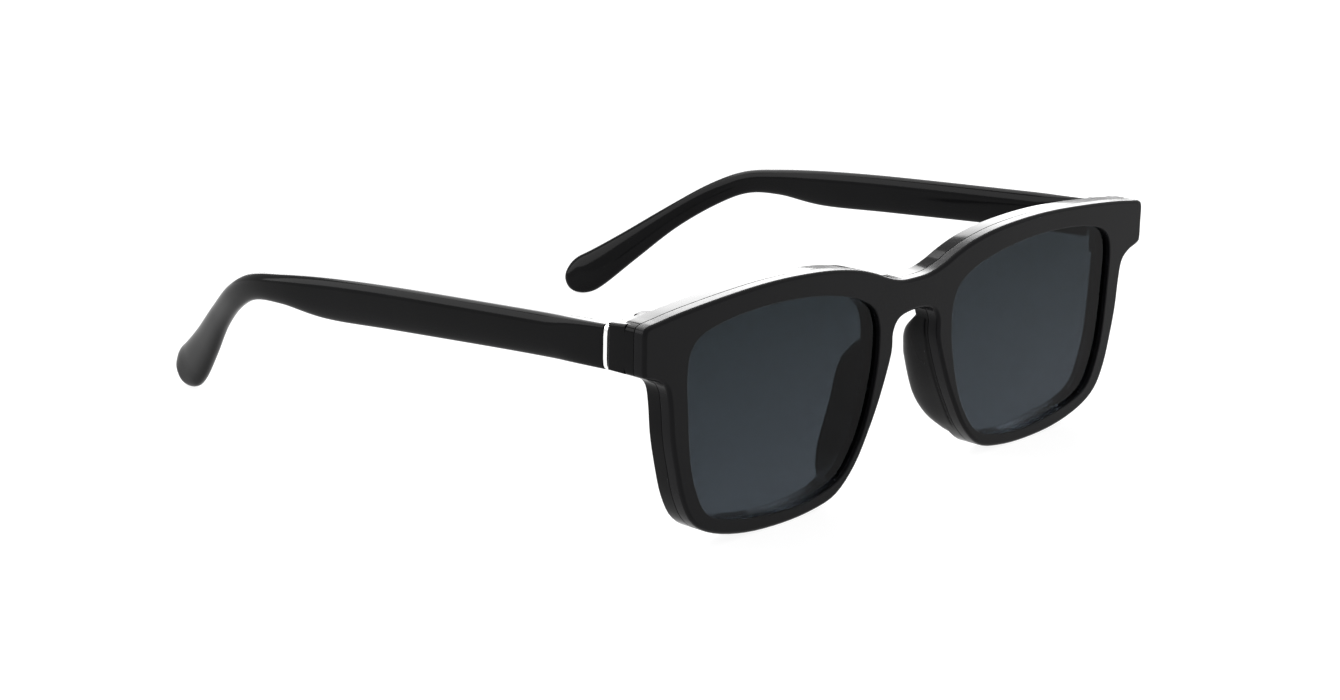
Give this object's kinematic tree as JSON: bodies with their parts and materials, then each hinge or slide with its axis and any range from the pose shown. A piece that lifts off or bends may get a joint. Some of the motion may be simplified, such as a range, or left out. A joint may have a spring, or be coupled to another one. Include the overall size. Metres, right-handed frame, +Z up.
{
  "type": "clip-on eyeglasses",
  "caption": "Full-rim rectangular spectacles with folding temples and a magnetic, same-shaped tinted sun front that clips on flush.",
  "frame": {"origin": "middle of the footprint, at the height of the table that the open spectacles stand on", "axes": "+Z up, -Y the way the clip's front plane faces, +X the wearer's left, so the right temple is at -X"},
  "size_m": [0.144, 0.1424, 0.044],
  "materials": {
    "frame_plastic": "polished black moulded plastic",
    "clip_plastic": "satin-gloss black moulded plastic",
    "clear_lens": "clear lens",
    "dark_lens": "dark blue-grey polarised lens",
    "end_plate": "polished bright metal",
    "hinge_metal": "satin nickel silver",
    "core_wire": "drawn wire",
    "magnet": "nickel-plated magnet"
  },
  "bodies": {
    "front": {"base_front": "frame_plastic", "base_lens_right": "clear_lens", "base_lens_left": "clear_lens", "base_corner_magnets": "magnet", "base_bridge_magnets": "magnet", "front_hinge_right": "hinge_metal", "front_hinge_left": "hinge_metal", "hinge_screw_right": "hinge_metal", "hinge_screw_left": "hinge_metal"},
    "clip": {"clip_front": "clip_plastic", "clip_lens_right": "dark_lens", "clip_lens_left": "dark_lens", "clip_corner_magnets": "magnet", "clip_bridge_magnets": "magnet"},
    "right_temple": {"temple_right": "frame_plastic", "end_plate_right": "end_plate", "temple_hinge_right": "hinge_metal", "core_wire_right": "core_wire"},
    "left_temple": {"temple_left": "frame_plastic", "end_plate_left": "end_plate", "temple_hinge_left": "hinge_metal", "core_wire_left": "core_wire"}
  },
  "joints": [
    {"name": "right_hinge", "type": "hinge", "parent": "front", "child": "right_temple", "pos_m": [-0.06725, -0.0623, 0.03665], "axis": [0, 0, -1], "range_deg": [0, 85]},
    {"name": "left_hinge", "type": "hinge", "parent": "front", "child": "left_temple", "pos_m": [0.06725, -0.0623, 0.03665], "axis": [0, 0, 1], "range_deg": [0, 73]},
    {"name": "clip_pull", "type": "slide", "parent": "front", "child": "clip", "axis": [0, -1, 0], "range_m": [0, 0.03]}
  ]
}
